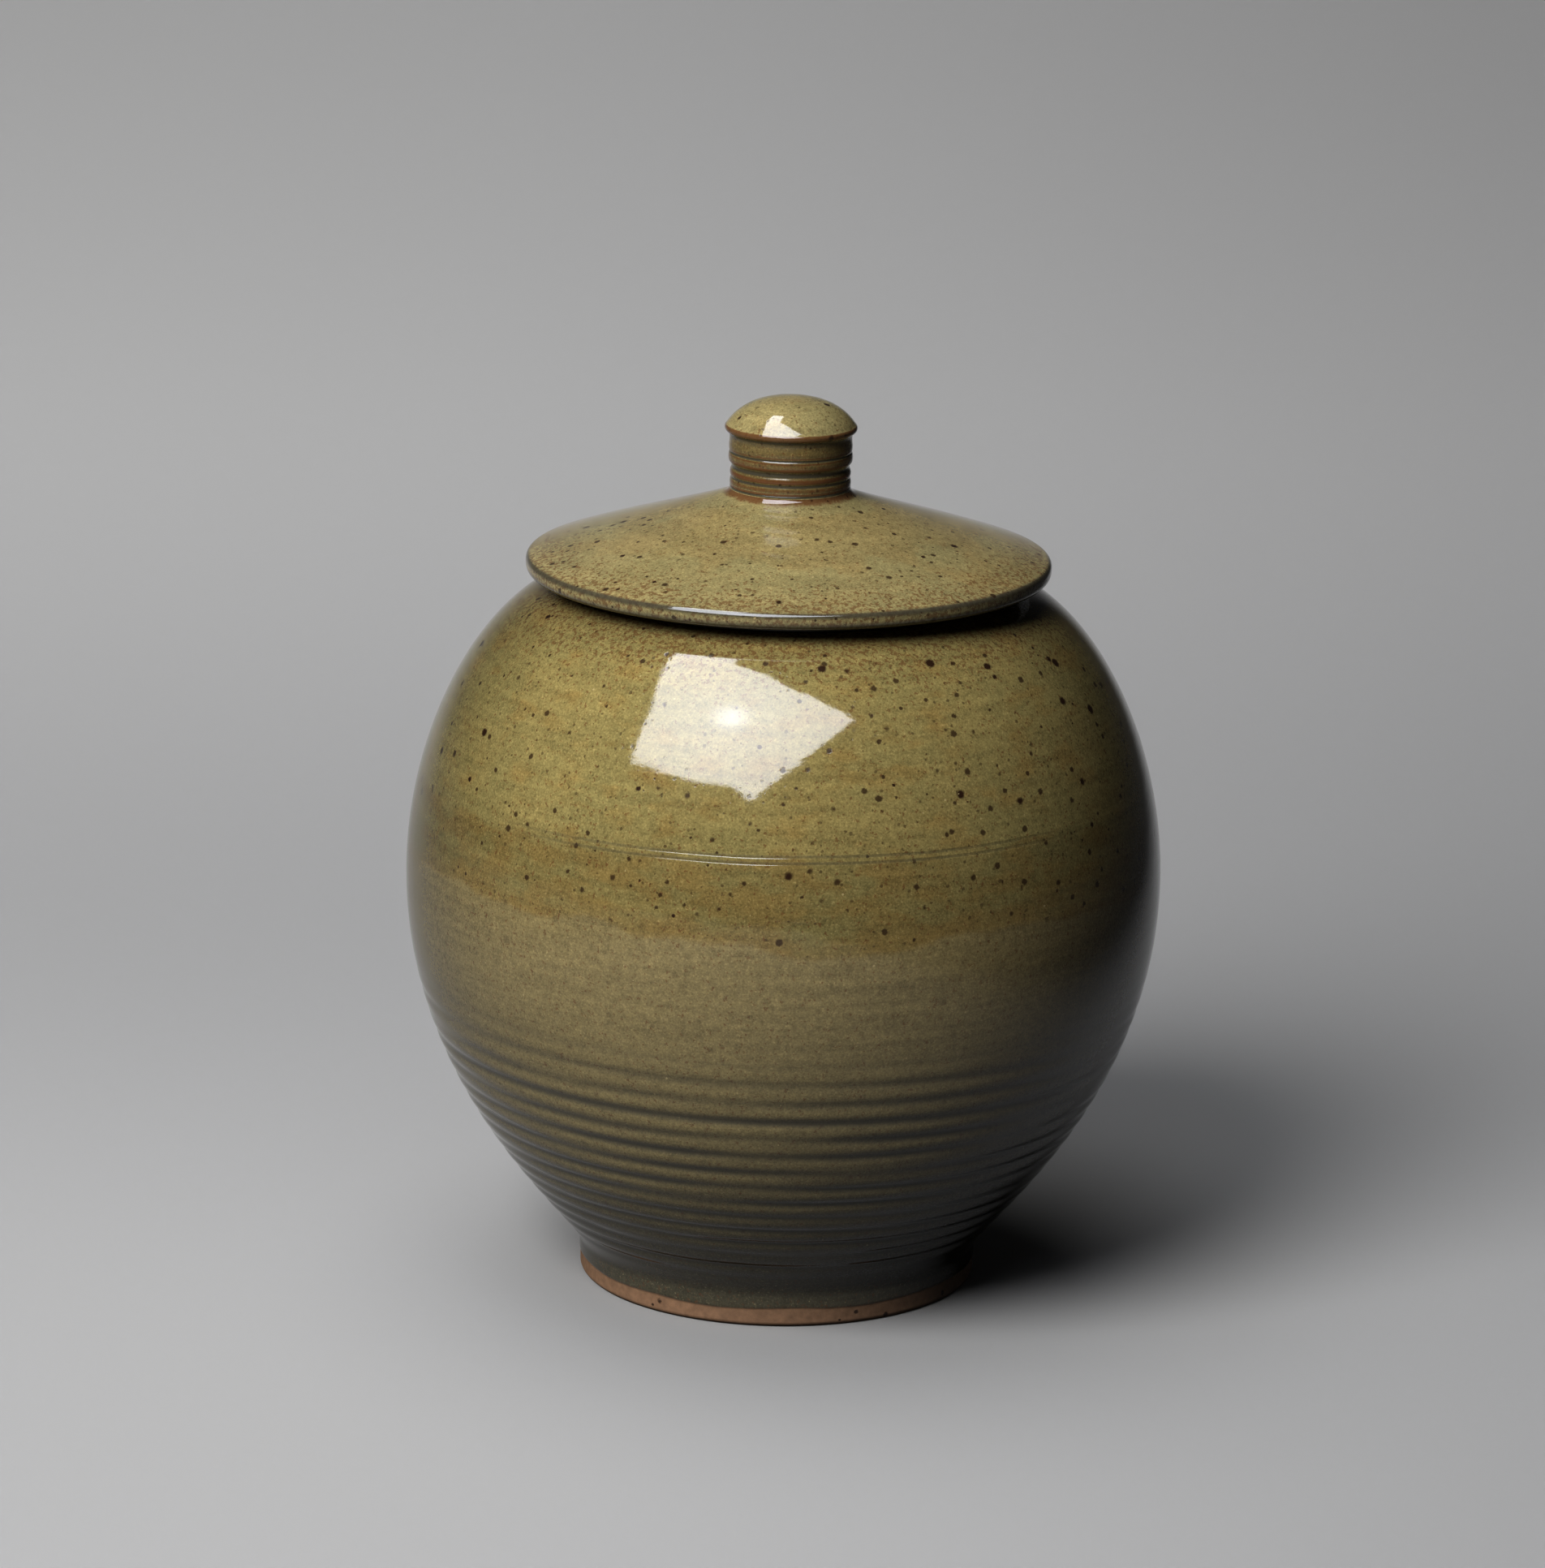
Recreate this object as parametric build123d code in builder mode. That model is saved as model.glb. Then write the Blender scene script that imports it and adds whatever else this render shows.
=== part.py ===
from build123d import *
import os
from math import cos, hypot, radians, sin

# A round wheel-thrown stoneware jar with a lift-off lid and a turned knob.
# Millimetres, +Z up, origin at the centre of the foot's resting face.
# Every piece is turned about Z, so each is half a section revolved about that axis.

# Jar, outside
foot_radius = 42.5
foot_rise = 6.75  # upright part of the foot
foot_bevel = 0.8
belly_radius = 80.0
belly_height = 88.0  # height of the widest point
seat_height = 152.5  # top of the lip, which the lid rests on
lip_radius = 47.5
lip_rise = 1.66  # upright edge of the lip
lip_rounding = 1.2
shoulder_slope = 15.6  # degrees the shoulder falls away from the lip

# How far each end of a wall curve is pulled along its own direction
foot_pull = 5.7
belly_pull_down = 48.8
belly_pull_up = 27.65
lip_pull = 18.95

# Jar, inside
wall = 5.0
lip_wall = 4.0
foot_wall = 5.0
base_thickness = 7.0
floor_rounding = 4.0
mouth_rounding = 1.5

# Trimmed hollow under the foot
ring_depth = 4.0
ring_width = 9.5
ring_rounding = 1.0

# Throwing grooves round the lower wall
groove_count = 13
groove_spacing = 4.7  # along the wall
groove_first = 5.0  # along the wall, from the top of the foot
groove_depth = 0.35
groove_tool = 6.0

# Lid
lid_clearance = 1.2  # all round, between the flange and the mouth
flange_depth = 9.0
flange_wall = 4.0
flange_rounding = 1.0
rim_overhang = 7.7  # past the outside of the lip
rim_thickness = 3.5
rim_rounding_below = 2.0
rim_rounding_above = 1.2
lid_rise = 18.7  # from the seat to the knob's joint
lid_wall = 5.0
lid_slope = 20.0  # degrees, at the rim and at the knob
lid_pull = 15.0
boss_rise = 1.3
boss_rounding = 1.7
dome_pull = 12.0

# Knob
knob_radius = 12.7  # of the lower stem and of the lid's boss under it
knob_stem = 4.5  # height of the lower stem
knob_step = 0.5  # outwards, above the lower stem
knob_waist = 0.2  # inwards again, halfway up to the cap
knob_cap_overhang = 0.85  # past the step
knob_cap_height = 12.4
knob_cap_rounding = 0.6
knob_height = 18.8
stem_groove_heights = (1.2, 2.7, 4.3)  # above the joint
stem_groove_depth = 0.4
waist_groove_height = 7.6
waist_groove_depth = 0.15
knob_groove_tool = 0.8

# Places that follow from the sizes above
floor_height = ring_depth + base_thickness
lip_base = seat_height - lip_rise
mouth_radius = lip_radius - lip_wall
slope = radians(shoulder_slope)
mouth_base = lip_base - wall * cos(slope)
flange_radius = mouth_radius - lid_clearance
flange_inner = flange_radius - flange_wall
flange_bottom = seat_height - flange_depth
rim_radius = lip_radius + rim_overhang
rim_top = seat_height + rim_thickness
joint_height = seat_height + lid_rise
boss_base = joint_height - boss_rise
step_radius = knob_radius + knob_step
waist_radius = step_radius - knob_waist
cap_radius = step_radius + knob_cap_overhang


def corner(section, radius, height):
    """The section's corner nearest to a radius and a height."""
    return section.vertices().sort_by_distance((radius, height))[0]


with BuildPart() as jar:
    with BuildSketch(Plane.XZ) as jar_section:
        with BuildLine():
            Polyline(
                (0, ring_depth),
                (foot_radius - ring_width, ring_depth),
                (foot_radius - ring_width, 0),
                (foot_radius, 0),
                (foot_radius, foot_rise),
            )
            lower_wall = Bezier(
                (foot_radius, foot_rise),
                (foot_radius, foot_rise + foot_pull),
                (belly_radius, belly_height - belly_pull_down),
                (belly_radius, belly_height),
            )
            Bezier(
                (belly_radius, belly_height),
                (belly_radius, belly_height + belly_pull_up),
                (lip_radius + lip_pull * cos(slope), lip_base - lip_pull * sin(slope)),
                (lip_radius, lip_base),
            )
            Polyline(
                (lip_radius, lip_base),
                (lip_radius, seat_height),
                (mouth_radius, seat_height),
                (mouth_radius, mouth_base),
            )
            Bezier(
                (mouth_radius, mouth_base),
                (mouth_radius + lip_pull * cos(slope), mouth_base - lip_pull * sin(slope)),
                (belly_radius - wall, belly_height + belly_pull_up),
                (belly_radius - wall, belly_height),
            )
            Bezier(
                (belly_radius - wall, belly_height),
                (belly_radius - wall, belly_height - belly_pull_down),
                (foot_radius - foot_wall, floor_height + foot_pull),
                (foot_radius - foot_wall, floor_height),
            )
            Polyline((foot_radius - foot_wall, floor_height), (0, floor_height), (0, ring_depth))
        make_face()
        chamfer(corner(jar_section, foot_radius, 0), foot_bevel)
        fillet(corner(jar_section, foot_radius - ring_width, 0), ring_rounding)
        fillet(corner(jar_section, foot_radius - ring_width, ring_depth), ring_rounding)
        fillet(corner(jar_section, foot_radius - foot_wall, floor_height), floor_rounding)
        fillet(corner(jar_section, mouth_radius, mouth_base), mouth_rounding)
        fillet(corner(jar_section, mouth_radius, seat_height), lip_rounding)
        fillet(corner(jar_section, lip_radius, seat_height), lip_rounding)
    revolve(axis=Axis.Z)

    with BuildSketch(Plane.XZ):
        for number in range(groove_count):
            along = (groove_first + number * groove_spacing) / lower_wall.length
            outward = (lower_wall % along).rotate(Axis.Z, -90)
            with Locations(lower_wall @ along + outward * (groove_tool - groove_depth)):
                Circle(groove_tool)
    revolve(axis=Axis.Z, mode=Mode.SUBTRACT)

with BuildPart() as lid:
    lid_run = rim_radius - knob_radius
    mean_slope = (boss_base - rim_top) / lid_run
    dome_edge = (
        rim_top
        + (rim_radius - flange_inner) * mean_slope
        - lid_wall * hypot(1, mean_slope)
    )
    dome_top = joint_height - lid_wall
    pull_out = lid_pull * cos(radians(lid_slope))
    pull_up = lid_pull * sin(radians(lid_slope))
    with BuildSketch(Plane.XZ) as lid_section:
        with BuildLine():
            Polyline(
                (flange_inner, dome_edge),
                (flange_inner, flange_bottom),
                (flange_radius, flange_bottom),
                (flange_radius, seat_height),
                (rim_radius, seat_height),
                (rim_radius, rim_top),
            )
            Bezier(
                (rim_radius, rim_top),
                (rim_radius - pull_out, rim_top + pull_up),
                (knob_radius + pull_out, boss_base - pull_up),
                (knob_radius, boss_base),
            )
            Polyline(
                (knob_radius, boss_base),
                (knob_radius, joint_height),
                (0, joint_height),
                (0, dome_top),
            )
            Bezier(
                (0, dome_top),
                (dome_pull, dome_top),
                (flange_inner - dome_pull, dome_edge + dome_pull * mean_slope),
                (flange_inner, dome_edge),
            )
        make_face()
        fillet(corner(lid_section, flange_inner, dome_edge), flange_rounding)
        fillet(corner(lid_section, flange_inner, flange_bottom), flange_rounding)
        fillet(corner(lid_section, flange_radius, flange_bottom), flange_rounding)
        fillet(corner(lid_section, rim_radius, seat_height), rim_rounding_below)
        fillet(corner(lid_section, rim_radius, rim_top), rim_rounding_above)
        fillet(corner(lid_section, knob_radius, boss_base), boss_rounding)
    revolve(axis=Axis.Z)

with BuildPart() as knob:
    stem_top = joint_height + knob_stem
    cap_edge = joint_height + knob_cap_height
    apex = joint_height + knob_height
    with BuildSketch(Plane.XZ) as knob_section:
        with BuildLine():
            Polyline(
                (0, apex),
                (0, joint_height),
                (knob_radius, joint_height),
                (knob_radius, stem_top),
                (step_radius, stem_top),
            )
            ThreePointArc(
                (step_radius, stem_top),
                (waist_radius, (stem_top + cap_edge) / 2),
                (cap_radius, cap_edge),
            )
            TangentArc((0, apex), (cap_radius, cap_edge), tangent=(1, 0))
        make_face()
        fillet(corner(knob_section, cap_radius, cap_edge), knob_cap_rounding)
    revolve(axis=Axis.Z)

    with BuildSketch(Plane.XZ):
        for height in stem_groove_heights:
            out = knob_radius + knob_groove_tool - stem_groove_depth
            with Locations((out, joint_height + height)):
                Circle(knob_groove_tool)
        out = waist_radius + knob_groove_tool - waist_groove_depth
        with Locations((out, joint_height + waist_groove_height)):
            Circle(knob_groove_tool)
    revolve(axis=Axis.Z, mode=Mode.SUBTRACT)

os.makedirs("parts", exist_ok=True)
jar.part.label = "jar"
export_step(jar.part, "parts/jar.step")
lid.part.label = "lid"
export_step(lid.part, "parts/lid.step")
knob.part.label = "knob"
export_step(knob.part, "parts/knob.step")
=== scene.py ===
import math

import bmesh
import bpy
from bpy.props import FloatProperty, FloatVectorProperty, IntProperty, PointerProperty
from mathutils import Matrix, Vector


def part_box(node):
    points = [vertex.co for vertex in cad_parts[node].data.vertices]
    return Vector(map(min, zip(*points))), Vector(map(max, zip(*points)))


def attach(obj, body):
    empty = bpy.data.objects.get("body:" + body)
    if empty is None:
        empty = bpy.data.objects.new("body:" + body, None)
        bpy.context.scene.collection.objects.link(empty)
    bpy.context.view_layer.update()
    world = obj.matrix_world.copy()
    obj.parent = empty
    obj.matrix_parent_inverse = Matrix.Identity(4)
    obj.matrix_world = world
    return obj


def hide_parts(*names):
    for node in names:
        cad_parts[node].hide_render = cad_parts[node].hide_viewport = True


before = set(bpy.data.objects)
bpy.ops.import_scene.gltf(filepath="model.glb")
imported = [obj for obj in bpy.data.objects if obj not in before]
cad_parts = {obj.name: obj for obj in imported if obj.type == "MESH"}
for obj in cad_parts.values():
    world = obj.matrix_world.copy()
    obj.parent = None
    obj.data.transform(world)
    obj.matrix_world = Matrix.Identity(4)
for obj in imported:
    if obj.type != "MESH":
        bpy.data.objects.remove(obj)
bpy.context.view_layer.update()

# Looks of a round stoneware jar with a lift-off lid and a turned knob.
# The jar, the lid and the knob are each turned from half a section. Node trees then add
# the throwing marks and the iron spots, and every glaze is a procedural material.

bl_info = {
    "name": "Stoneware Jar Finish",
    "version": (1, 0, 0),
    "blender": (4, 5, 0),
    "location": "3D View > Sidebar > Jar",
    "description": "Turns, glazes and lights a round stoneware jar with a lift-off lid",
    "category": "Object",
}

MM = 0.001
TURN = 2 * math.pi


# ---------------------------------------------------------------- sizes from the CAD nodes


def reaches(node, low, high):
    """Distances from the axis of a CAD node's corners between two heights."""
    corners = (v.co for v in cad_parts[node].data.vertices)
    return [math.hypot(c.x, c.y) for c in corners if low <= c.z <= high]


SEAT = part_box("jar")[1].z
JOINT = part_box("knob")[0].z
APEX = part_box("knob")[1].z
FLANGE_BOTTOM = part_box("lid")[0].z
BELLY_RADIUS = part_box("jar")[1].x
RIM_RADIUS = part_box("lid")[1].x
CAP_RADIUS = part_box("knob")[1].x
FOOT_RADIUS = max(reaches("jar", 0, 2 * MM))
FOOT_RING_INSIDE = min(reaches("jar", 0, 2 * MM))
LIP_RADIUS = max(reaches("jar", SEAT - 1.3 * MM, SEAT))
MOUTH_RADIUS = min(reaches("jar", SEAT - 4 * MM, SEAT))
FLANGE_RADIUS = max(reaches("lid", FLANGE_BOTTOM, FLANGE_BOTTOM + 2 * MM))
FLANGE_INSIDE = min(reaches("lid", FLANGE_BOTTOM, FLANGE_BOTTOM + 2 * MM))
STEM_RADIUS = max(reaches("lid", JOINT - 0.2 * MM, JOINT))


# ---------------------------------------------------------------- settings


def length(name, description, millimetres):
    """A length that a user can change."""
    return FloatProperty(name=name, description=description, default=millimetres * MM, unit="LENGTH")


def colour(name, description, red, green, blue):
    """A linear colour that a user can change."""
    return FloatVectorProperty(
        name=name, description=description, default=(red, green, blue), size=3,
        subtype="COLOR", min=0.0, max=1.0,
    )


class JarShapeSettings(bpy.types.PropertyGroup):
    """Curves of the jar's wall."""

    belly_height: length("Belly height", "Height of the widest point", 88.0)
    foot_rise: length("Foot rise", "Upright part of the foot", 6.75)
    foot_pull: length("Foot pull", "How far the wall's curve keeps the foot's direction", 5.7)
    belly_pull_down: length("Belly pull down", "How far the lower wall keeps upright", 48.8)
    belly_pull_up: length("Belly pull up", "How far the upper wall keeps upright", 27.65)
    lip_pull: length("Lip pull", "How far the shoulder keeps the slope it has at the lip", 18.95)
    lip_rise: length("Lip rise", "Upright edge of the lip", 1.66)
    wall: length("Wall", "Thickness of the wall at the belly", 5.0)
    floor_height: length("Floor height", "Height of the floor inside", 11.0)
    ring_depth: length("Ring depth", "Depth of the hollow under the foot", 4.0)
    shoulder_slope: FloatProperty(
        name="Shoulder slope", description="Fall of the shoulder at the lip",
        default=math.radians(15.6), subtype="ANGLE",
    )


class ThrowingSettings(bpy.types.PropertyGroup):
    """Marks that the thrower's fingers leave in the wall."""

    spacing: length("Spacing", "Climb of the spiral groove in one turn, along the wall", 4.7)
    depth: length("Depth", "Depth of the strongest grooves", 0.42)
    faint: length("Faint depth", "Depth of the marks higher up the wall", 0.05)
    out_of_round: length("Out of round", "How far the turned wall strays from a circle", 0.2)
    glaze: length("Glaze thickness", "Step where the glaze stops above the foot", 0.22)
    glaze_line: length("Glaze line", "Height where the glaze stops above the foot", 4.0)
    columns: IntProperty(name="Columns", description="Faces round each piece", default=240)


class GlazeSettings(bpy.types.PropertyGroup):
    """Colours of the fired surfaces."""

    olive: colour("Olive", "Thick glaze above the belly", 0.212, 0.175, 0.074)
    moss: colour("Moss", "Greener places in the glaze", 0.200, 0.170, 0.073)
    amber: colour("Amber", "Browner places in the glaze", 0.205, 0.140, 0.050)
    lower: colour("Lower wall", "Glaze below the overlap line", 0.196, 0.160, 0.078)
    # The near-the-foot colour is painted shade: it darkens the lowest part of the wall, as in the shade
    # under the belly.
    foot: colour("Near the foot", "Glaze on the lowest part of the wall", 0.062, 0.056, 0.036)
    pooled: colour("Pooled", "Glaze where it runs thick into grooves", 0.052, 0.048, 0.036)
    rust: colour("Rust", "Glaze where it breaks thin over an edge", 0.105, 0.045, 0.018)
    straw: colour("Straw", "Pale grains in the glaze", 0.420, 0.350, 0.190)
    iron: colour("Iron", "Iron spots", 0.030, 0.015, 0.008)
    clay: colour("Clay", "Bare fired clay", 0.190, 0.118, 0.072)


class StudioSettings(bpy.types.PropertyGroup):
    """Camera, light and floor."""

    camera_distance: length("Camera distance", "From the camera to the belly's middle", 1400.0)
    camera_pitch: FloatProperty(
        name="Camera pitch", description="How far the camera looks down",
        default=math.radians(14.6), subtype="ANGLE",
    )
    camera_roll: FloatProperty(
        name="Camera roll", description="Lean of the picture",
        default=math.radians(1.0), subtype="ANGLE",
    )
    aim_right: length("Aim right", "Sideways place of the camera", -2.6)
    aim_up: length("Aim up", "Place of the camera along its own up direction", 17.9)
    lens: FloatProperty(name="Lens", description="Focal length in millimetres", default=151.6)
    key_power: FloatProperty(name="Key power", description="Power of the key lamp in watts", default=178.0)
    top_power: FloatProperty(
        name="Top power", description="Power of the lamp overhead in watts", default=15.0)
    key_turn: FloatProperty(
        name="Key turn", description="How far left of the camera the key lamp stands",
        default=math.radians(37.0), subtype="ANGLE",
    )
    key_rise: FloatProperty(
        name="Key rise", description="How high the key lamp stands",
        default=math.radians(40.0), subtype="ANGLE",
    )
    card_glow: FloatProperty(
        name="Card glow", description="Brightness of the white card that the glaze mirrors", default=13.0)
    room_glow: FloatProperty(name="Room glow", description="Brightness of the dark room", default=0.02)
    floor_tone: FloatProperty(name="Floor tone", description="How pale the floor is", default=0.292)
    film_gamma: FloatProperty(
        name="Film gamma", description="Under 1 for a picture with more contrast", default=0.8)


SETTINGS = {
    "jar_shape": JarShapeSettings,
    "jar_throwing": ThrowingSettings,
    "jar_glaze": GlazeSettings,
    "jar_studio": StudioSettings,
}


# ---------------------------------------------------------------- node trees as expressions


class Value:
    """An output socket of a node tree, with arithmetic on it."""

    def __init__(self, graph, socket):
        self.graph = graph
        self.socket = socket

    def __add__(self, other):
        return self.graph.arithmetic("ADD", self, other)

    def __radd__(self, other):
        return self.graph.arithmetic("ADD", other, self)

    def __sub__(self, other):
        return self.graph.arithmetic("SUBTRACT", self, other)

    def __rsub__(self, other):
        return self.graph.arithmetic("SUBTRACT", other, self)

    def __mul__(self, other):
        return self.graph.arithmetic("MULTIPLY", self, other)

    def __rmul__(self, other):
        return self.graph.arithmetic("MULTIPLY", other, self)

    def __truediv__(self, other):
        return self.graph.arithmetic("DIVIDE", self, other)

    def __pow__(self, other):
        return self.graph.arithmetic("POWER", self, other)

    def __lt__(self, other):
        return self.graph.arithmetic("LESS_THAN", self, other)

    def output(self, name):
        """Another output of the same node."""
        return Value(self.graph, self.socket.node.outputs[name])


class Graph:
    """A node tree that is written as expressions."""

    def __init__(self, tree):
        self.tree = tree
        tree.nodes.clear()

    def add(self, kind, settings=None, inputs=None, output=0):
        """Add a node, set it up, feed its sockets and give one of its outputs."""
        node = self.tree.nodes.new(kind)
        for name, value in (settings or {}).items():
            setattr(node, name, value)
        for name, value in (inputs or {}).items():
            self.feed(node.inputs[name], value)
        return Value(self, node.outputs[output]) if node.outputs else node

    def feed(self, socket, value):
        """Link a value to a socket, or set the socket to a plain number or colour."""
        if isinstance(value, Value):
            self.tree.links.new(value.socket, socket)
        elif socket.type == "VECTOR" and isinstance(value, (int, float)):
            socket.default_value = (value, value, value)
        elif socket.type == "RGBA":
            socket.default_value = (*value[:3], 1.0)
        else:
            socket.default_value = value

    def arithmetic(self, operation, left, right):
        """One Math or Vector Math node, by what goes in."""
        vectors = [v for v in (left, right) if isinstance(v, Value) and v.socket.type == "VECTOR"]
        kind = "ShaderNodeVectorMath" if vectors else "ShaderNodeMath"
        return self.add(kind, {"operation": operation}, {0: left, 1: right})

    def function(self, operation, *values):
        """A Math node of one or more values, such as a cosine."""
        return self.add("ShaderNodeMath", {"operation": operation}, dict(enumerate(values)))

    def parts(self, vector):
        """The X, Y and Z of a vector."""
        first = self.add("ShaderNodeSeparateXYZ", inputs={0: vector})
        return first, first.output("Y"), first.output("Z")

    def vector(self, x, y, z):
        return self.add("ShaderNodeCombineXYZ", inputs={0: x, 1: y, 2: z})

    def mix(self, share, first, second, blend="MIX"):
        """A colour that goes from first to second as share goes from 0 to 1."""
        settings = {"data_type": "RGBA", "blend_type": blend}
        return self.add("ShaderNodeMix", settings, {0: share, 6: first, 7: second}, output=2)

    def ease(self, value, low, high):
        """0 at low, 1 at high, and smooth between them."""
        inputs = {"Value": value, "From Min": low, "From Max": high}
        return self.add("ShaderNodeMapRange", {"interpolation_type": "SMOOTHSTEP"}, inputs)

    def noise(self, place, size, detail=2.0, rough=0.5):
        """Cloudy values about 0.5, with features of about the given size."""
        inputs = {"Vector": place, "Scale": 1.0 / size, "Detail": detail, "Roughness": rough}
        return self.add("ShaderNodeTexNoise", {"noise_dimensions": "3D"}, inputs)


# ---------------------------------------------------------------- turning


def along_curve(handles, step):
    """Points at even steps along a Bezier curve of any degree."""
    fine = []
    for number in range(201):
        t = number / 200
        points = [Vector(h) for h in handles]
        while len(points) > 1:
            points = [a.lerp(b, t) for a, b in zip(points, points[1:])]
        fine.append(points[0])
    travelled = [0.0]
    for a, b in zip(fine, fine[1:]):
        travelled.append(travelled[-1] + (b - a).length)
    count = max(1, math.ceil(travelled[-1] / step))
    even, spot = [], 0
    for number in range(count + 1):
        wanted = travelled[-1] * number / count
        while spot < 199 and travelled[spot + 1] < wanted:
            spot += 1
        gap = travelled[spot + 1] - travelled[spot]
        share = min(1.0, (wanted - travelled[spot]) / gap) if gap > 0 else 0.0
        even.append(fine[spot].lerp(fine[spot + 1], share))
    return even


class Section:
    """Half a section of a turned piece: points from the axis round to the axis again."""

    def __init__(self):
        self.points = []
        self.tags = []

    def stroke(self, *handles, step, outside=0.0, bare=0.0):
        """Add a Bezier curve through its handles, tagged with what its surface is."""
        for point in along_curve(handles, step * MM):
            if self.points and (point - self.points[-1]).length < 0.01 * MM:
                continue
            self.points.append(point)
            self.tags.append((outside, bare))

    def bend(self, index, reach):
        """How sharply the outline turns at a point: above 0 on a ridge, under 0 in a groove."""
        here = self.points[index]
        before = after = index
        while before > 0 and (self.points[before] - here).length < reach:
            before -= 1
        while after < len(self.points) - 1 and (self.points[after] - here).length < reach:
            after += 1
        arriving, leaving = here - self.points[before], self.points[after] - here
        if arriving.length < 1e-7 or leaving.length < 1e-7:
            return 0.0
        turn = arriving.angle_signed(leaving)
        return -turn / (0.5 * (arriving.length + leaving.length))

    def turn(self, name, columns):
        """The closed mesh object that this section makes, with its tags as attributes."""
        travelled, rows = 0.0, []
        for index, point in enumerate(self.points):
            if index:
                travelled += (point - self.points[index - 1]).length
            outside, bare = self.tags[index]
            bend = self.bend(index, 0.5 * MM) * MM
            rows.append((max(0.0, point.x), point.y, travelled, outside, bare, bend))
        vertices, faces, values = [], [], {"along": [], "outside": [], "bare": [], "bend": []}
        rings = []
        for radius, height, *tags in rows:
            pole = radius < 0.01 * MM
            ring = []
            for column in range(1 if pole else columns):
                angle = TURN * column / columns
                ring.append(len(vertices))
                vertices.append((radius * math.cos(angle), radius * math.sin(angle), height))
                for key, value in zip(values, tags):
                    values[key].append(value)
            rings.append(ring)
        for lower, upper in zip(rings, rings[1:]):
            for column in range(columns):
                after = (column + 1) % columns
                corners = [lower[column % len(lower)], lower[after % len(lower)],
                           upper[after % len(upper)], upper[column % len(upper)]]
                faces.append(list(dict.fromkeys(corners)))
        mesh = bpy.data.meshes.new(name)
        mesh.from_pydata(vertices, [], faces)
        for key, numbers in values.items():
            mesh.attributes.new(key, "FLOAT", "POINT").data.foreach_set("value", numbers)
        mesh.update()
        return place_mesh(name, face_outwards(mesh))


def face_outwards(mesh):
    """Turn a closed mesh's faces outwards and shade it smooth."""
    work = bmesh.new()
    work.from_mesh(mesh)
    bmesh.ops.recalc_face_normals(work, faces=work.faces)
    work.to_mesh(mesh)
    work.free()
    mesh.shade_smooth()
    return mesh


def place_mesh(name, mesh):
    """An object at the origin that holds a mesh."""
    piece = bpy.data.objects.new(name, mesh)
    bpy.context.scene.collection.objects.link(piece)
    return piece


def jar_section(shape):
    """Half section of the jar, from under the foot, up the outside and down the inside."""
    slope = shape.shoulder_slope
    ring, foot, lip, mouth = FOOT_RING_INSIDE, FOOT_RADIUS, LIP_RADIUS, MOUTH_RADIUS
    lip_base = SEAT - shape.lip_rise
    mouth_base = lip_base - shape.wall * math.cos(slope)
    fall = Vector((shape.lip_pull * math.cos(slope), -shape.lip_pull * math.sin(slope)))
    inner_foot = foot - shape.wall
    floor = shape.floor_height
    belly, height = BELLY_RADIUS, shape.belly_height
    one = 1.0 * MM
    turned_edge = 1.2 * MM
    section = Section()
    section.stroke((0, shape.ring_depth), (ring - one, shape.ring_depth), step=4, bare=1)
    section.stroke((ring - one, shape.ring_depth), (ring, shape.ring_depth),
                   (ring, shape.ring_depth - one), step=0.25, bare=1)
    section.stroke((ring, shape.ring_depth - one), (ring, one), step=0.8, bare=1)
    section.stroke((ring, one), (ring, 0), (ring + one, 0), step=0.25, bare=1)
    section.stroke((ring + one, 0), (foot - one, 0), step=1.2, bare=1)
    section.stroke((foot - one, 0), (foot - 0.2 * one, 0), (foot, one), step=0.2, bare=1, outside=1)
    section.stroke((foot, one), (foot, shape.foot_rise), step=0.25, outside=1)
    section.stroke(
        (foot, shape.foot_rise), (foot, shape.foot_rise + shape.foot_pull),
        (belly, height - shape.belly_pull_down), (belly, height), step=0.62, outside=1,
    )
    section.stroke(
        (belly, height), (belly, height + shape.belly_pull_up),
        Vector((lip, lip_base)) + fall, (lip, lip_base), step=0.75, outside=1,
    )
    section.stroke((lip, lip_base), (lip, SEAT - turned_edge), step=0.2, outside=1)
    section.stroke((lip, SEAT - turned_edge), (lip, SEAT), (lip - turned_edge, SEAT),
                   step=0.2, outside=1)
    section.stroke((lip - turned_edge, SEAT), (mouth + turned_edge, SEAT), step=0.4, bare=1)
    section.stroke((mouth + turned_edge, SEAT), (mouth, SEAT), (mouth, SEAT - turned_edge),
                   step=0.2, bare=1)
    section.stroke((mouth, SEAT - turned_edge), (mouth, mouth_base + one), step=0.6, bare=1)
    below_mouth = Vector((mouth, mouth_base)) + fall * (one / fall.length)
    section.stroke((mouth, mouth_base + one), (mouth, mouth_base), below_mouth, step=0.25, bare=1)
    section.stroke(
        below_mouth, Vector((mouth, mouth_base)) + fall,
        (belly - shape.wall, height + shape.belly_pull_up), (belly - shape.wall, height), step=1.9,
    )
    corner_size = 5 * MM
    section.stroke(
        (belly - shape.wall, height), (belly - shape.wall, height - shape.belly_pull_down),
        (inner_foot, floor + 2 * shape.foot_pull), (inner_foot, floor + corner_size), step=1.9,
    )
    section.stroke((inner_foot, floor + corner_size), (inner_foot, floor),
                   (inner_foot - corner_size, floor), step=0.8)
    section.stroke((inner_foot - corner_size, floor), (0, floor), step=3)
    return section


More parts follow.
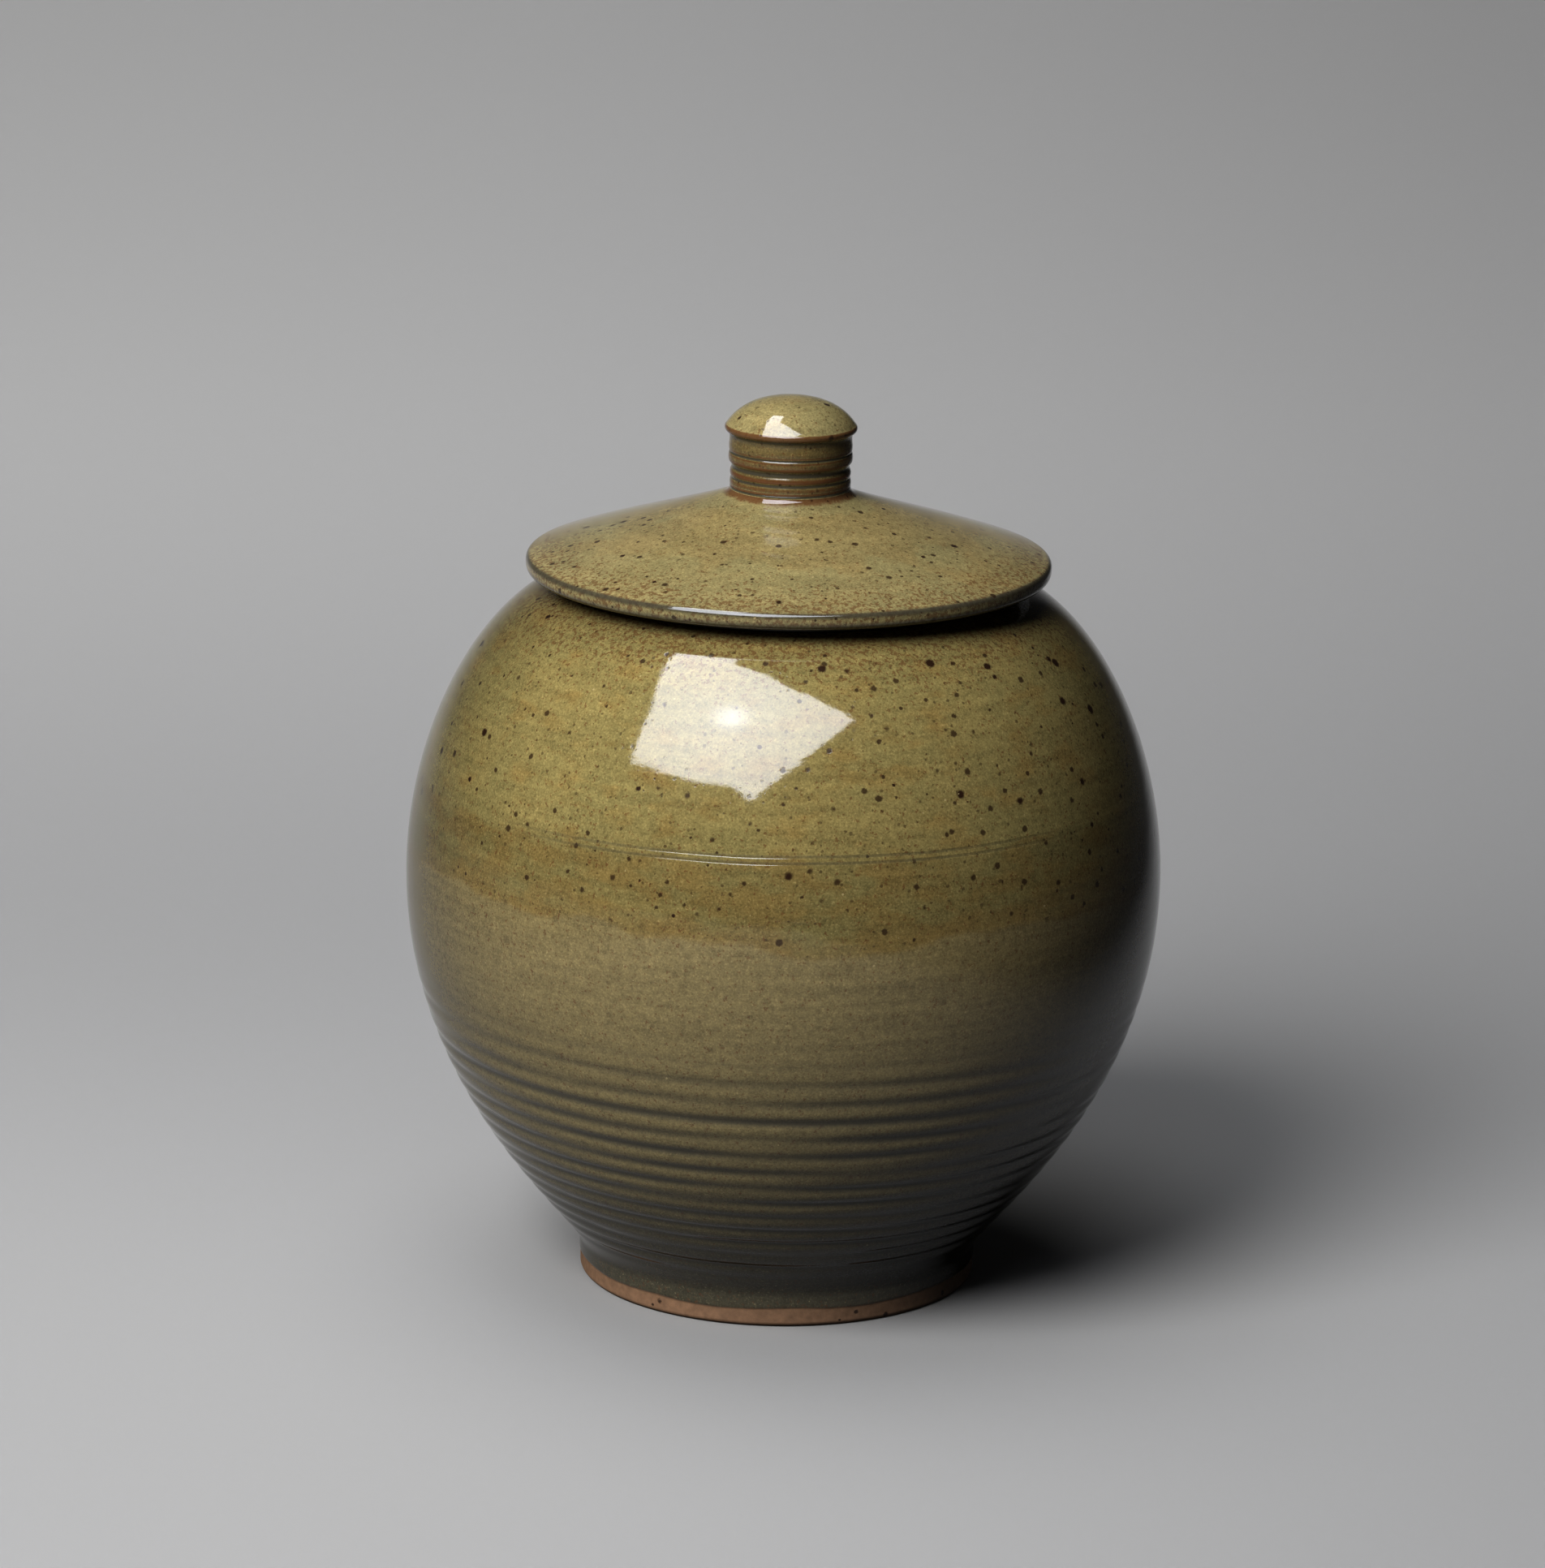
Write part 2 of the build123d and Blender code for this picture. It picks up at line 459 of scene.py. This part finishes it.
def lid_section():
    """Half section of the lid, from the knob's joint, out over the top and in under it."""
    rim_top = SEAT + 3.5 * MM
    boss_base = JOINT - 1.3 * MM
    slope = math.radians(20.0)
    pull = Vector((15.0 * MM * math.cos(slope), -15.0 * MM * math.sin(slope)))
    rim, stem = RIM_RADIUS, STEM_RADIUS
    flare = 1.7 * MM
    edge = 1.1 * MM
    nose = 2.0 * MM
    out_of_stem = Vector((stem, boss_base)) + pull * (flare / pull.length)
    in_from_rim = Vector((rim, rim_top)) - pull * (edge / pull.length)
    dome_top = JOINT - 5.0 * MM
    dome_edge = Vector((FLANGE_INSIDE, SEAT + 3.8 * MM))
    round_in = 1.0 * MM
    section = Section()
    section.stroke((0, JOINT), (stem, JOINT), step=3)
    section.stroke((stem, JOINT), (stem, boss_base), out_of_stem, step=0.2, outside=1)
    section.stroke(out_of_stem, Vector((stem, boss_base)) + pull,
                   Vector((rim, rim_top)) - pull, in_from_rim, step=0.6, outside=1)
    section.stroke(in_from_rim, (rim, rim_top), (rim, rim_top - edge), step=0.15, outside=1)
    section.stroke((rim, rim_top - edge), (rim, SEAT + nose), step=0.2, outside=1)
    section.stroke((rim, SEAT + nose), (rim, SEAT), (rim - nose, SEAT), step=0.2, outside=1)
    section.stroke((rim - nose, SEAT), (LIP_RADIUS + 1.5 * MM, SEAT), step=0.6, outside=1)
    section.stroke((LIP_RADIUS + 1.5 * MM, SEAT), (FLANGE_RADIUS + 0.5 * MM, SEAT), step=0.8, bare=1)
    section.stroke((FLANGE_RADIUS + 0.5 * MM, SEAT), (FLANGE_RADIUS, SEAT),
                   (FLANGE_RADIUS, SEAT - 0.5 * MM), step=0.2, bare=1)
    section.stroke((FLANGE_RADIUS, SEAT - 0.5 * MM), (FLANGE_RADIUS, FLANGE_BOTTOM + round_in),
                   step=0.8, bare=1)
    section.stroke((FLANGE_RADIUS, FLANGE_BOTTOM + round_in), (FLANGE_RADIUS, FLANGE_BOTTOM),
                   (FLANGE_RADIUS - round_in, FLANGE_BOTTOM), step=0.2, bare=1)
    section.stroke((FLANGE_RADIUS - round_in, FLANGE_BOTTOM),
                   (FLANGE_INSIDE + round_in, FLANGE_BOTTOM), step=0.6, bare=1)
    section.stroke((FLANGE_INSIDE + round_in, FLANGE_BOTTOM), (FLANGE_INSIDE, FLANGE_BOTTOM),
                   (FLANGE_INSIDE, FLANGE_BOTTOM + round_in), step=0.2, bare=1)
    section.stroke((FLANGE_INSIDE, FLANGE_BOTTOM + round_in),
                   dome_edge - Vector((0, 2 * round_in)), step=0.8)
    section.stroke(dome_edge - Vector((0, 2 * round_in)), dome_edge,
                   dome_edge + Vector((-2 * round_in, 0.6 * round_in)), step=0.4)
    section.stroke(dome_edge + Vector((-2 * round_in, 0.6 * round_in)),
                   dome_edge + Vector((-13 * MM, 4.2 * MM)), (12 * MM, dome_top), (0, dome_top),
                   step=1.6)
    return section


# Height above the joint and distance out from the stem of each turned ridge and groove.
KNOB_STEM_POINTS = (
    (0.0, 0.0), (0.9, 0.06), (1.5, -0.03), (2.0, -0.17), (2.5, -0.01), (2.9, 0.03), (3.4, -0.06),
    (3.9, -0.26), (4.4, -0.31), (4.9, -0.03), (5.3, 0.26), (6.1, 0.37), (6.9, 0.3), (7.2, 0.19),
    (7.4, 0.09), (7.65, 0.24), (8.6, 0.29), (9.4, 0.21), (10.3, 0.17), (10.9, 0.28),
    (11.3, 0.46),
)


def knob_section():
    """Half section of the knob: a ridged stem under a domed cap."""
    section = Section()
    section.stroke((0, JOINT), (STEM_RADIUS, JOINT), step=3)
    stem = [Vector((STEM_RADIUS + out * MM, JOINT + up * MM)) for up, out in KNOB_STEM_POINTS]
    for index in range(len(stem) - 1):
        before = stem[max(0, index - 1)]
        here, there = stem[index], stem[index + 1]
        after = stem[min(len(stem) - 1, index + 2)]
        section.stroke(here, here + (there - before) / 6, there - (after - here) / 6, there,
                       step=0.15, outside=1)
    cap_edge = Vector((CAP_RADIUS, JOINT + 12.3 * MM))
    dome_start = cap_edge + Vector((-0.35, 0.75)) * MM
    section.stroke(stem[-1], (CAP_RADIUS, JOINT + 11.6 * MM), cap_edge, step=0.12, outside=1)
    section.stroke(cap_edge, cap_edge + Vector((0, 0.4 * MM)), dome_start, step=0.12, outside=1)
    section.stroke(dome_start, dome_start + Vector((-2.6, 3.9)) * MM, (6.4 * MM, APEX), (0, APEX),
                   step=0.4, outside=1)
    return section


# ---------------------------------------------------------------- shaping by node trees


def new_tree(name, inputs):
    """An empty Geometry Nodes tree with named inputs, and its graph."""
    tree = bpy.data.node_groups.new(name, "GeometryNodeTree")
    tree.interface.new_socket("Geometry", in_out="OUTPUT", socket_type="NodeSocketGeometry")
    tree.interface.new_socket("Geometry", in_out="INPUT", socket_type="NodeSocketGeometry")
    for label, kind in inputs:
        tree.interface.new_socket(label, in_out="INPUT", socket_type=kind)
    graph = Graph(tree)
    return tree, graph, graph.add("NodeGroupInput")


def finish_tree(graph, geometry, material):
    """Every tree ends in plain faces with one material."""
    real = graph.add("GeometryNodeRealizeInstances", inputs={0: geometry})
    done = graph.add("GeometryNodeSetMaterial", inputs={"Geometry": real, "Material": material})
    graph.add("NodeGroupOutput", inputs={0: done})


def shape_with(piece, tree, values):
    """Run a node tree on a piece, and keep the result as the piece's plain mesh."""
    modifier = piece.modifiers.new(tree.name, "NODES")
    modifier.node_group = tree
    for item in tree.interface.items_tree:
        if item.in_out == "INPUT" and item.name in values:
            modifier[item.identifier] = values[item.name]
    depsgraph = bpy.context.evaluated_depsgraph_get()
    shaped = piece.evaluated_get(depsgraph)
    mesh = bpy.data.meshes.new_from_object(shaped, preserve_all_data_layers=True, depsgraph=depsgraph)
    piece.modifiers.clear()
    mesh.name = piece.name
    piece.data = mesh
    return piece


def attribute(graph, name):
    """A named number on each corner, inside a Geometry Nodes tree."""
    return graph.add("GeometryNodeInputNamedAttribute", {"data_type": "FLOAT"}, {"Name": name})


def keep(graph, geometry, name, value):
    """Store a number on each corner under a name."""
    settings = {"data_type": "FLOAT", "domain": "POINT"}
    inputs = {"Geometry": geometry, "Name": name, "Value": value}
    return graph.add("GeometryNodeStoreNamedAttribute", settings, inputs)


def throwing_tree():
    """Spiral finger grooves, a wall a little out of round, and the step of the glaze's edge."""
    number = "NodeSocketFloat"
    inputs = [(label, number) for label in (
        "Spacing", "Depth", "Faint Depth", "Bottom", "Top", "Out Of Round",
        "Glaze Thickness", "Glaze Line")]
    tree, graph, given = new_tree("Throwing Marks", inputs + [("Material", "NodeSocketMaterial")])
    place = graph.add("GeometryNodeInputPosition")
    x, y, z = graph.parts(place)
    angle = graph.function("ARCTAN2", y, x)
    outside = attribute(graph, "outside")
    turns = attribute(graph, "along") / given.output("Spacing") + angle / TURN
    wave = graph.function("COSINE", turns * TURN) * 0.5 + 0.5
    bottom, top = given.output("Bottom"), given.output("Top")
    strong = graph.ease(z, bottom, bottom + 6 * MM) * (1 - graph.ease(z, top - 22 * MM, top))
    uneven = graph.noise(place * graph.vector(0.12, 0.12, 1.0), 7 * MM, detail=1.0)
    groove = (wave ** 1.7) * strong * graph.ease(uneven, 0.25, 0.62) * outside
    flutes = graph.noise(place * graph.vector(0.05, 0.05, 1.0), 2.6 * MM, detail=2.0)
    stray = graph.noise(place, 70 * MM, detail=1.0)
    line = given.output("Glaze Line") + (graph.noise(place, 22 * MM) - 0.5) * (1.6 * MM)
    cover = 1 - (1 - graph.ease(z, line - 0.12 * MM, line + 0.3 * MM)) * outside
    inwards = (groove * given.output("Depth") + flutes * given.output("Faint Depth") * outside
               + stray * given.output("Out Of Round")
               + (1 - cover) * given.output("Glaze Thickness"))
    normal = graph.add("GeometryNodeInputNormal")
    moved = graph.add("GeometryNodeSetPosition", inputs={
        "Geometry": given, "Offset": normal * (0 - inwards)})
    stored = keep(graph, moved, "groove", groove)
    stored = keep(graph, stored, "cover", cover)
    finish_tree(graph, stored, given.output("Material"))
    return tree


# ---------------------------------------------------------------- glaze and clay


def spots(graph, place, cell, radius, share, shift):
    """1 inside round specks scattered about one to a cell, 0 between them. Sizes are in millimetres."""
    moved = place * (1.0 / cell) + graph.vector(shift, shift * 0.7, shift * 1.3)
    nearest = graph.add("ShaderNodeTexVoronoi", {"feature": "F1"}, {"Vector": moved, "Scale": 1.0})
    chance, size, _ = graph.parts(nearest.output("Color"))
    reach = (size * size * 0.8 + 0.4) * (radius / cell)
    inside = 1 - graph.ease(nearest, reach * 0.55, reach)
    return inside * (chance < share)


def scratch(graph, z, height):
    """1 along a fine line scratched round the wall at a height."""
    away = graph.function("ABSOLUTE", z - height)
    return 1 - graph.ease(away, 0.1, 0.42)


def tinted(graph, colour_value, shade):
    """A colour made lighter or darker by a number."""
    return graph.mix(1.0, colour_value, graph.vector(shade, shade, shade), blend="MULTIPLY")


def wall_colour(graph, colours, place, z, streak):
    """The jar's glaze by height: olive above a wavy overlap line, greyer and darker below, and darker
    still towards the foot, where the colour is painted shade.
    """
    cloud = graph.noise(place, 16.0, detail=3.0)
    upper = graph.mix(graph.ease(cloud, 0.38, 0.62), colours.olive, colours.moss)
    warm = graph.noise(place * graph.vector(1.0, 1.0, 2.2), 9.0, detail=3.0)
    near_line = graph.ease(z, 113.0, 108.0)
    upper = graph.mix(graph.ease(warm + near_line * 0.12, 0.5, 0.72) * 0.5, upper, colours.amber)
    upper = tinted(graph, upper, 1 - near_line * 0.17)
    wave = (graph.noise(place * graph.vector(1.0, 1.0, 0.2), 26.0, detail=1.0) - 0.5) * 13.0
    ripple = (graph.noise(place, 2.5) - 0.5) * 1.6
    line = z + wave + ripple
    high = graph.ease(line, 93.4, 95.2)
    rolled = graph.ease(line, 93.0, 94.6) * (1 - graph.ease(line, 94.6, 99.0))
    # Painted shade: the lower glaze darkens towards the foot, as in the shade under the belly.
    low = graph.mix(graph.ease(z + (streak - 0.5) * 6.0, 5.0, 46.0), colours.foot, colours.lower)
    return graph.mix(rolled * 0.35, graph.mix(high, low, upper), colours.amber), high


LID_GLAZE_LIFT = (1.10, 1.13, 1.32)


def top_colour(graph, colours, place, radius, z):
    """The lid's and the knob's glaze: greener in the middle of the lid, browner at its rim."""
    cloud = graph.noise(place, 11.0, detail=3.0)
    middle = graph.ease(radius, 14.0, 24.0) * (1 - graph.ease(radius, 30.0, 44.0))
    green = graph.ease(cloud + middle * 0.16, 0.42, 0.68)
    base = graph.mix(green, colours.olive, colours.moss)
    base = graph.mix(graph.ease(cloud - middle * 0.3, 0.46, 0.3) * 0.3, base, colours.amber)
    base = graph.mix(1.0, base, graph.vector(*LID_GLAZE_LIFT), blend="MULTIPLY")
    above_joint = z - JOINT / MM
    stem = graph.ease(above_joint, 0.2, 0.8) * (1 - graph.ease(above_joint, 10.9, 11.7))
    return graph.mix(stem * 0.7, base, tinted(graph, colours.amber, 0.42)), stem


def glaze_material(name, colours, on_wall):
    """Glossy ash glaze over iron-bearing stoneware, on the jar's wall or on the lid and knob."""
    material = bpy.data.materials.new(name)
    material.use_nodes = True
    graph = Graph(material.node_tree)
    place = graph.add("ShaderNodeTexCoord", output="Object") * (1 / MM)
    x, y, z = graph.parts(place)
    radius = graph.function("SQRT", x * x + y * y)
    fact = {key: graph.add("ShaderNodeAttribute", {"attribute_name": key}, output="Fac")
            for key in ("groove", "cover", "bare", "bend", "outside")}

    mottle = graph.noise(place, 1.6, detail=3.0, rough=0.6)
    grain = graph.noise(place, 0.42, detail=2.0, rough=0.65)
    streak = graph.noise(place * graph.vector(0.05, 0.05, 1.0), 1.5, detail=3.0, rough=0.6)
    if on_wall:
        body, high = wall_colour(graph, colours, place, z, streak)
        browned = graph.ease(z, 136.0, 151.0)
        spotted = high * 0.75 + 0.25
        stem = 0.0
    else:
        body, stem = top_colour(graph, colours, place, radius, z)
        browned = graph.ease(radius, 40.0, 54.5)
        spotted = 1.0

    shade = 1 + (mottle - 0.5) * 0.7 + (streak - 0.5) * 0.6 + (grain - 0.5) * 1.3
    body = tinted(graph, body, shade)
    body = graph.mix(graph.ease(grain, 0.6, 0.78) * 0.3, body, colours.straw)
    freckled = graph.ease(graph.noise(place, 0.9, detail=2.0, rough=0.7) + browned * 0.12, 0.6, 0.68)
    body = graph.mix(freckled * 0.6, body, colours.rust)

    pooled = graph.function("MAXIMUM", fact["groove"], graph.ease(0 - fact["bend"], 0.15, 0.8))
    body = graph.mix(pooled * 0.9, body, colours.pooled)
    thin = graph.ease(fact["bend"] + (mottle - 0.5) * 0.7, 0.12, 0.55)
    body = graph.mix(thin * 0.85, body, colours.rust)

    wander = graph.add("ShaderNodeTexNoise", inputs={"Vector": place, "Scale": 1.8}, output="Color")
    loose = place + wander * 0.7
    fine = spots(graph, loose, 1.5, 0.42, 0.60, 3.1)
    medium = spots(graph, loose, 3.0, 0.80, 0.75, 7.7)
    large = spots(graph, loose, 7.0, 1.25, 0.50, 11.3)
    dark = graph.function("MAXIMUM", fine * 0.55, graph.function("MAXIMUM", medium * 0.85, large))
    dark = dark * spotted
    body = graph.mix(dark, body, colours.iron)
    pale = spots(graph, loose, 2.3, 0.28, 0.22, 17.9)
    body = graph.mix(pale * 0.55, body, colours.straw)
    incised = 0.0
    if on_wall:
        uneven = z + (graph.noise(place, 30.0, detail=1.0) - 0.5) * 0.8
        fading = graph.ease(0 - y, 45.0, 76.0)
        pair = graph.function("MAXIMUM", scratch(graph, uneven, 111.4), scratch(graph, uneven, 110.1))
        incised = fading * pair
        body = graph.mix(incised * 0.4, body, colours.pooled)
    if on_wall:
        # Painted shade: the wall's colour is darkened towards its outline, where the surface turns away
        # from the camera.
        facing = graph.add("ShaderNodeLayerWeight", inputs={"Blend": 0.5}, output="Facing")
        body = tinted(graph, body, 1 - graph.ease(facing, 0.2, 0.85) * 0.42)

    bare = graph.function("MAXIMUM", fact["bare"], 1 - fact["cover"])
    clay = graph.mix(medium, tinted(graph, colours.clay, 0.55 + mottle * 0.9), colours.iron)
    surface = graph.mix(bare, body, clay)
    roughness = 0.06 + (1 - fact["outside"]) * 0.06 + dark * 0.1 + stem * 0.1 + bare * 0.75

    ripples = graph.noise(place * graph.vector(0.25, 0.25, 1.0), 6.0, detail=2.0)
    glazed = mottle * 0.3 + ripples * 1.6 + grain * 0.05 - dark * 0.35 - incised * 2.0
    relief = glazed * (1 - bare) + grain * bare
    bump = graph.add("ShaderNodeBump", inputs={
        "Strength": 0.35, "Distance": 0.08 * MM, "Height": relief})
    shader = graph.add("ShaderNodeBsdfPrincipled", inputs={
        "Base Color": surface, "Roughness": roughness, "Normal": bump, "IOR": 1.5})
    graph.add("ShaderNodeOutputMaterial", inputs={"Surface": shader})
    return material


# ---------------------------------------------------------------- operators


class JAR_OT_jar(bpy.types.Operator):
    """Turn the jar and glaze it"""

    bl_idname = "jar.turn_jar"
    bl_label = "Turn Jar"

    def execute(self, context):
        scene = context.scene
        throwing = scene.jar_throwing
        piece = jar_section(scene.jar_shape).turn("jar_body", throwing.columns)
        shape_with(piece, throwing_tree(), {
            "Spacing": throwing.spacing, "Depth": throwing.depth, "Faint Depth": throwing.faint,
            "Bottom": 9 * MM, "Top": 74 * MM, "Out Of Round": throwing.out_of_round,
            "Glaze Thickness": throwing.glaze, "Glaze Line": throwing.glaze_line,
            "Material": glaze_material("jar_ash_glaze", scene.jar_glaze, on_wall=True),
        })
        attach(piece, "jar")
        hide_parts("jar")
        return {"FINISHED"}


class JAR_OT_lid(bpy.types.Operator):
    """Turn the lid and glaze it"""

    bl_idname = "jar.turn_lid"
    bl_label = "Turn Lid"

    def execute(self, context):
        scene = context.scene
        throwing = scene.jar_throwing
        piece = lid_section().turn("lid_cover", throwing.columns)
        shape_with(piece, bpy.data.node_groups["Throwing Marks"], {
            "Spacing": throwing.spacing, "Depth": 0.0, "Faint Depth": throwing.faint,
            "Bottom": 9 * MM, "Top": 74 * MM, "Out Of Round": throwing.out_of_round * 0.5,
            "Glaze Thickness": 0.0, "Glaze Line": 0.0,
            "Material": glaze_material("lid_ash_glaze", scene.jar_glaze, on_wall=False),
        })
        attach(piece, "lid")
        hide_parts("lid")
        return {"FINISHED"}


class JAR_OT_knob(bpy.types.Operator):
    """Turn the knob and glaze it"""

    bl_idname = "jar.turn_knob"
    bl_label = "Turn Knob"

    def execute(self, context):
        scene = context.scene
        throwing = scene.jar_throwing
        piece = knob_section().turn("knob_grip", throwing.columns // 2)
        shape_with(piece, bpy.data.node_groups["Throwing Marks"], {
            "Spacing": throwing.spacing, "Depth": 0.0, "Faint Depth": throwing.faint,
            "Bottom": 9 * MM, "Top": 74 * MM, "Out Of Round": throwing.out_of_round * 0.5,
            "Glaze Thickness": 0.0, "Glaze Line": 0.0,
            "Material": glaze_material("knob_ash_glaze", scene.jar_glaze, on_wall=False),
        })
        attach(piece, "lid")
        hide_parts("knob")
        return {"FINISHED"}


CARD_DISTANCE = 1.3
CARD_TOWARDS = (-0.44, -0.69, 1.0)
CARD_HOT_PLACE = (0.08, 0.09)
CARD_CORNERS = (
    (-0.84, 1.50), (-0.47, 1.51), (-0.24, 0.83), (0.33, 0.57), (0.90, 0.52), (0.71, -0.08),
    (0.46, -0.49), (0.30, -0.41), (0.0, -0.43), (-0.49, -0.38), (-0.46, 0.06),
)



def facing_frame(towards):
    """Unit axes of something that looks back along a direction: right, above, towards."""
    ahead = Vector(towards).normalized()
    right = Vector((0, 0, 1)).cross(ahead).normalized()
    return Matrix((right, ahead.cross(right), ahead)).transposed()


def card_material(glow):
    """A glow with a soft hot place about the card's own middle."""
    material = bpy.data.materials.new("card_glow")
    material.use_nodes = True
    graph = Graph(material.node_tree)
    place = graph.add("ShaderNodeTexCoord", output="Object")
    distance = graph.add("ShaderNodeVectorMath", {"operation": "LENGTH"}, {0: place}, "Value")
    wide = 1 - graph.ease(distance, 0.0, 0.7)
    narrow = 1 - graph.ease(distance, 0.0, 0.17)
    front = 1 - graph.add("ShaderNodeNewGeometry", output="Backfacing")
    shader = graph.add("ShaderNodeEmission", inputs={
        "Color": (0.86, 0.90, 1.0), "Strength": front * glow * (0.92 + wide * 0.16 + narrow * 0.5)})
    graph.add("ShaderNodeOutputMaterial", inputs={"Surface": shader})
    return material


def white_card(name, towards, corners, hot_place, glow):
    """A white card that only the glaze mirrors: the lamps light everything else."""
    axes = facing_frame(towards)
    hot = Vector((*hot_place, CARD_DISTANCE))
    mesh = bpy.data.meshes.new(name)
    outline = [(a - hot.x, b - hot.y, 0) for a, b in corners]
    mesh.from_pydata(outline, [], [list(range(len(outline)))])
    mesh.materials.append(card_material(glow))
    card = place_mesh(name, mesh)
    card.matrix_world = Matrix.Translation(Vector((0, 0, 0.1)) + axes @ hot) @ axes.to_4x4()
    card.visible_diffuse = False
    card.visible_shadow = False


def soft_lamp(name, power, size, place, aim):
    """A soft round lamp. The white card stands in for it in the glaze."""
    lamp = bpy.data.lights.new(name, "AREA")
    lamp.shape = "DISK"
    lamp.size = size
    lamp.energy = power
    lamp.color = (1.0, 0.985, 0.965)
    light = bpy.data.objects.new(name, lamp)
    bpy.context.scene.collection.objects.link(light)
    light.matrix_world = Matrix.Translation(place) @ facing_frame(place - aim).to_4x4()
    light.visible_glossy = False


def soft_lamps(studio, aim):
    """The key lamp, up in front and to the left, and a weaker lamp overhead."""
    turn, rise = studio.key_turn, studio.key_rise
    towards = Vector((-math.sin(turn) * math.cos(rise), -math.cos(turn) * math.cos(rise), math.sin(rise)))
    soft_lamp("key_lamp", studio.key_power, 1.8, aim + towards * 3.0, aim)
    soft_lamp("top_lamp", studio.top_power, 1.5, Vector((-0.25, 0.25, 1.7)), aim)


class JAR_OT_studio(bpy.types.Operator):
    """Set up the floor, the light and the camera"""

    bl_idname = "jar.set_studio"
    bl_label = "Set Studio"

    def execute(self, context):
        scene = context.scene
        studio = scene.jar_studio
        floor_sweep(studio.floor_tone)
        soft_lamps(studio, Vector((0, 0, scene.jar_shape.belly_height)))
        white_card("white_card", CARD_TOWARDS, CARD_CORNERS, CARD_HOT_PLACE, studio.card_glow)
        world = bpy.data.worlds.new("room")
        world.use_nodes = True
        graph = Graph(world.node_tree)
        glow = graph.add("ShaderNodeBackground", inputs={
            "Color": (1.0, 1.0, 1.0), "Strength": studio.room_glow})
        graph.add("ShaderNodeOutputWorld", inputs={"Surface": glow})
        scene.world = world
        scene.view_settings.view_transform = "Standard"
        scene.view_settings.look = "None"
        scene.view_settings.gamma = studio.film_gamma
        stand_camera(scene, studio)
        return {"FINISHED"}


def floor_sweep(tone):
    """A pale floor that sweeps up into the backdrop far behind, with painted light and shade in its tone.
    """
    half_width, front, back, bend = 3.5, -2.5, 0.35, 4.0
    profile = [(front, 0.0)]
    for number in range(33):
        angle = math.radians(75.0) * number / 32
        profile.append((back + bend * math.sin(angle), bend * (1 - math.cos(angle))))
    vertices = [(side, y, z) for y, z in profile for side in (-half_width, half_width)]
    faces = [(2 * n, 2 * n + 1, 2 * n + 3, 2 * n + 2) for n in range(len(profile) - 1)]
    mesh = bpy.data.meshes.new("floor")
    mesh.from_pydata(vertices, [], faces)
    mesh.shade_smooth()
    material = bpy.data.materials.new("paper_sweep_painted_light")
    material.use_nodes = True
    graph = Graph(material.node_tree)
    x, y, _ = graph.parts(graph.add("ShaderNodeTexCoord", output="Object"))
    # Painted light and shade: the floor's tone darkens strongly to the right and to the far left, as where
    # the studio light falls off. It is a little darker just behind the jar and lighter farther back up the
    # backdrop, as if lit there.
    spread = x / (1 + graph.function("MAXIMUM", y, 0.0) * 0.7)
    right = (1 - graph.ease(spread, -0.1, 0.3) * 0.21) * (1 - graph.ease(spread, 0.16, 0.32) * 0.85)
    left = 1 - graph.ease(0 - spread, 0.2, 0.6) * 0.6
    behind = (1 - graph.ease(y, -0.05, 0.3) * 0.12) * (1 + graph.ease(y, 0.15, 0.85) * 0.42)
    shade = right * left * behind * tone
    shader = graph.add("ShaderNodeBsdfPrincipled", inputs={
        "Base Color": graph.vector(shade, shade * 1.007, shade * 1.02), "Roughness": 0.9})
    graph.add("ShaderNodeOutputMaterial", inputs={"Surface": shader})
    mesh.materials.append(material)
    floor = place_mesh("floor", mesh)
    floor.visible_diffuse = False


def stand_camera(scene, studio):
    """Aim the camera at the belly's middle, from the front and a little above."""
    pitch = studio.camera_pitch
    ahead = Vector((0, math.cos(pitch), -math.sin(pitch)))
    above = Vector((0, math.sin(pitch), math.cos(pitch)))
    right = Vector((1, 0, 0))
    data = bpy.data.cameras.new("camera")
    data.sensor_fit = "AUTO"
    data.sensor_width = 36.0
    data.lens = studio.lens
    data.clip_start = 0.01
    data.clip_end = 50.0
    camera = bpy.data.objects.new("camera", data)
    scene.collection.objects.link(camera)
    target = Vector((0, 0, scene.jar_shape.belly_height))
    eye = target - ahead * studio.camera_distance + right * studio.aim_right + above * studio.aim_up
    level = Matrix((right, above, -ahead)).transposed().to_4x4()
    camera.matrix_world = (Matrix.Translation(eye) @ level
                           @ Matrix.Rotation(studio.camera_roll, 4, "Z"))
    scene.camera = camera


class JAR_PT_panel(bpy.types.Panel):
    """Steps that make the jar, in order"""

    bl_label = "Stoneware Jar"
    bl_space_type = "VIEW_3D"
    bl_region_type = "UI"
    bl_category = "Jar"

    def draw(self, context):
        for group in SETTINGS:
            box = self.layout.box()
            settings = getattr(context.scene, group)
            for key in settings.bl_rna.properties.keys():
                if key not in {"rna_type", "name"}:
                    box.prop(settings, key)
        for operator in OPERATORS:
            self.layout.operator(operator.bl_idname)


OPERATORS = (JAR_OT_jar, JAR_OT_lid, JAR_OT_knob, JAR_OT_studio)
CLASSES = (*SETTINGS.values(), *OPERATORS, JAR_PT_panel)


def register():
    for cls in CLASSES:
        bpy.utils.register_class(cls)
    for name, cls in SETTINGS.items():
        setattr(bpy.types.Scene, name, PointerProperty(type=cls))


def unregister():
    for name in SETTINGS:
        delattr(bpy.types.Scene, name)
    for cls in reversed(CLASSES):
        bpy.utils.unregister_class(cls)


def main():
    register()
    bpy.ops.jar.turn_jar()
    bpy.ops.jar.turn_lid()
    bpy.ops.jar.turn_knob()
    bpy.ops.jar.set_studio()


if __name__ == "__main__":
    main()
